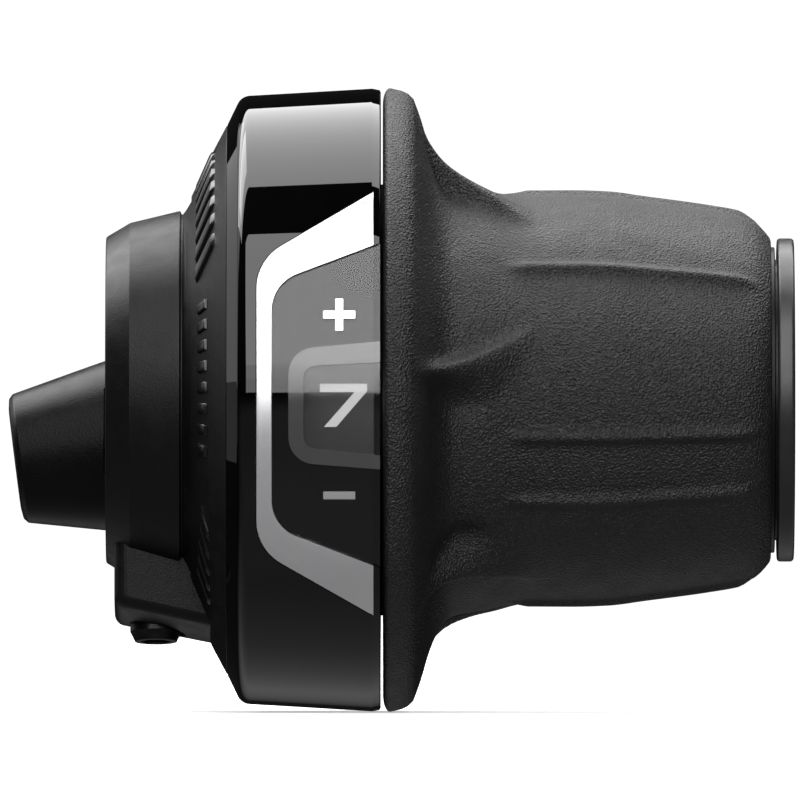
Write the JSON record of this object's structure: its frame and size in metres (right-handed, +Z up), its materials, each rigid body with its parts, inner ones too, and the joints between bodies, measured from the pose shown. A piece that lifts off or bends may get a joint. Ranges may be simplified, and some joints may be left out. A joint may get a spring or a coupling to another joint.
{
  "type": "bicycle twist-grip gear shifter",
  "caption": "Right-hand indexed twist-grip gear shifter: clamp ring, gear window with numeral drum, flanged rubber twist grip and rear cable outlet, for a straight handlebar.",
  "frame": {"origin": "on the handlebar's axis, level with the clamp screw", "axes": "+X outboard along the handlebar, -Y the side that the gear window faces, +Z up the window"},
  "size_m": [0.0716, 0.0568, 0.0568],
  "materials": {
    "black_nylon": "fine spark texture, satin",
    "gloss_black": "polished",
    "silver_trim": "silver-white lacquer",
    "smoked_lens": "polished clear plastic",
    "white_marks": "printed white",
    "frosted_grey": "frosted",
    "drum_black": "satin",
    "sleeve_nylon": "satin",
    "natural_acetal": "smooth",
    "bronze_acetal": "smooth",
    "grip_rubber": "fine leather grain",
    "dark_steel": "black oxide",
    "bright_steel": "zinc plated",
    "spring_steel": "bright strip"
  },
  "bodies": {
    "housing": {"clamp_housing": "black_nylon", "clamp_screw": "dark_steel", "clamp_nut": "bright_steel", "clamp_shoe": "bright_steel", "cable_outlet": "black_nylon", "cable_guide": "natural_acetal", "gloss_cover": "gloss_black", "cover_screws": "dark_steel", "window_trim": "silver_trim", "window_lens": "smoked_lens", "plus_minus_marks": "white_marks", "digit_frame": "frosted_grey", "cable_hatch": "black_nylon", "hatch_screw": "dark_steel", "inner_sleeve": "sleeve_nylon", "thrust_washer": "natural_acetal", "end_washer": "sleeve_nylon", "detent_spring": "spring_steel", "spring_screw": "dark_steel"},
    "grip": {"grip_core": "sleeve_nylon", "rubber_grip": "grip_rubber", "winder_spool": "natural_acetal", "detent_ring": "bronze_acetal", "indicator_drum": "drum_black", "gear_digits": "white_marks"}
  },
  "joints": [
    {"name": "grip_twist", "type": "hinge", "parent": "housing", "child": "grip", "pos_m": [0.03, 0, 0], "axis": [1, 0, 0], "range_deg": [0, 90], "deforming": ["detent_spring"]}
  ]
}
